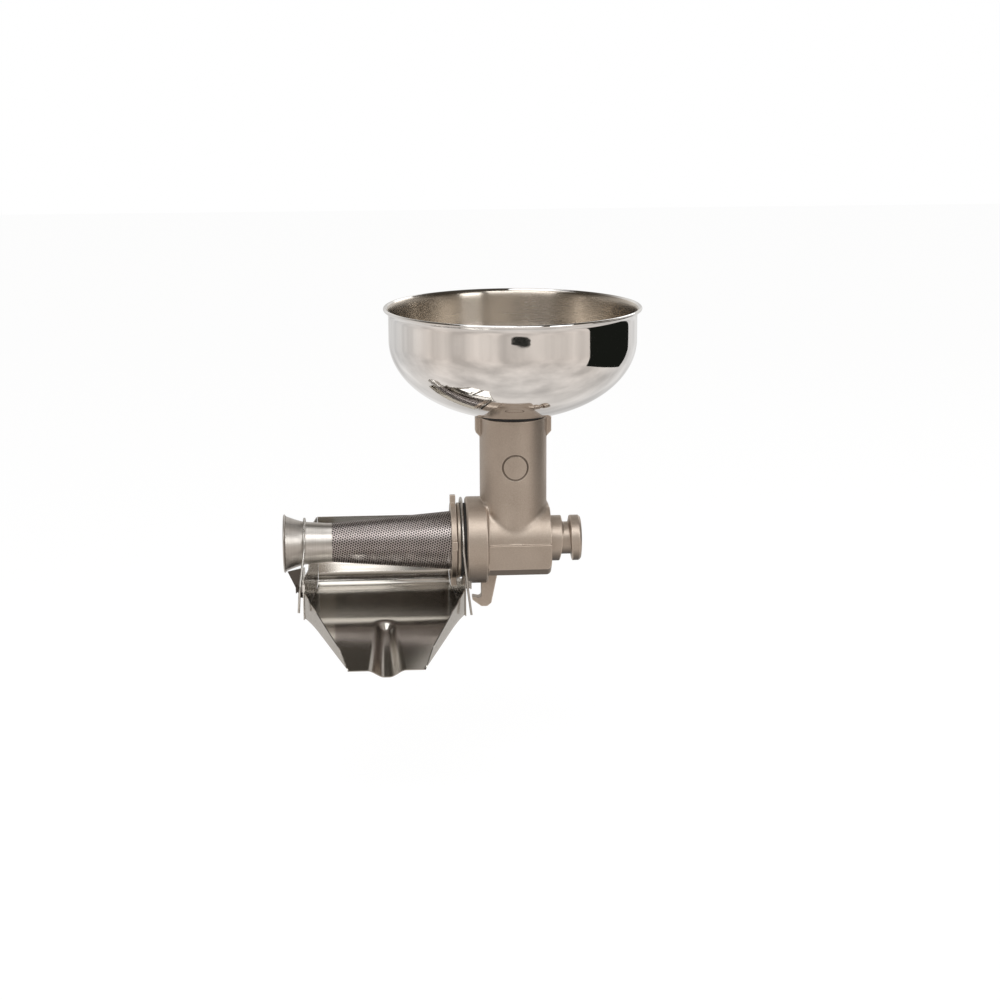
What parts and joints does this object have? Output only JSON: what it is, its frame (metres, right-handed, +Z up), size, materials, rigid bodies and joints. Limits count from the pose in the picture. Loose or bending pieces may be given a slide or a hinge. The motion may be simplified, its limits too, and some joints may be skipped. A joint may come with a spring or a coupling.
{
  "type": "screw food strainer attachment",
  "caption": "Motor-driven screw food strainer head: steel hopper bowl on a cast feed tube, auger inside a perforated cone with a flared waste outlet, and a juice tray hung on wire bails.",
  "frame": {"origin": "on the auger axis at the shoulder of the drive spigot", "axes": "+X along the auger axis out of the drive spigot, +Z up towards the hopper, -Y towards the pouring lip of the tray"},
  "size_m": [0.3655, 0.2597, 0.3459],
  "materials": {
    "cast_body": "satin champagne-coloured plated casting",
    "polished_steel": "mirror polished outside, brushed inside",
    "screen_steel": "satin stainless sheet",
    "tray_steel": "bright-rolled stainless sheet",
    "spring_wire": "drawn bright spring wire",
    "steel_bar": "turned steel",
    "tinned_iron": "tinned cast iron, bright grey",
    "bronze": "turned bronze",
    "black_rubber": "matt black rubber"
  },
  "bodies": {
    "mill": {"mill_body": "cast_body", "rear_bush": "bronze", "shaft_seal": "black_rubber", "thrust_washer": "bronze", "bowl_seal": "black_rubber", "body_gasket": "black_rubber"},
    "auger": {"auger": "tinned_iron", "drive_shaft": "steel_bar", "shaft_clip": "steel_bar", "cross_pin": "steel_bar"},
    "screen": {"cone_screen": "screen_steel", "outlet_flare": "screen_steel", "screen_flange": "screen_steel", "grip_ring": "cast_body"},
    "hopper": {"bowl": "polished_steel", "bowl_neck": "polished_steel"},
    "tray": {"tray_trough": "tray_steel", "tray_left_cheek": "tray_steel", "tray_right_cheek": "tray_steel"},
    "left_bail": {"bail_left": "spring_wire"},
    "right_bail": {"bail_right": "spring_wire"}
  },
  "joints": [
    {"name": "auger_spin", "type": "hinge", "parent": "mill", "child": "auger", "pos_m": [0, 0, 0], "axis": [1, 0, 0], "continuous": true},
    {"name": "screen_twist", "type": "hinge", "parent": "mill", "child": "screen", "pos_m": [-0.09, 0, 0], "axis": [1, 0, 0], "range_deg": [0, 60]},
    {"name": "hopper_lift", "type": "slide", "parent": "mill", "child": "hopper", "axis": [0, 0, 1], "range_m": [0, 0.06]},
    {"name": "tray_swing", "type": "hinge", "parent": "mill", "child": "tray", "pos_m": [-0.17, 0, 0], "axis": [1, 0, 0], "range_deg": [-12, 12]},
    {"name": "left_bail_swing", "type": "hinge", "parent": "tray", "child": "left_bail", "pos_m": [-0.2509, 0.028, 0], "axis": [-1, 0, 0], "range_deg": [0, 100]},
    {"name": "right_bail_swing", "type": "hinge", "parent": "tray", "child": "right_bail", "pos_m": [-0.09, 0.054, 0], "axis": [-1, 0, 0], "range_deg": [0, 95]}
  ]
}
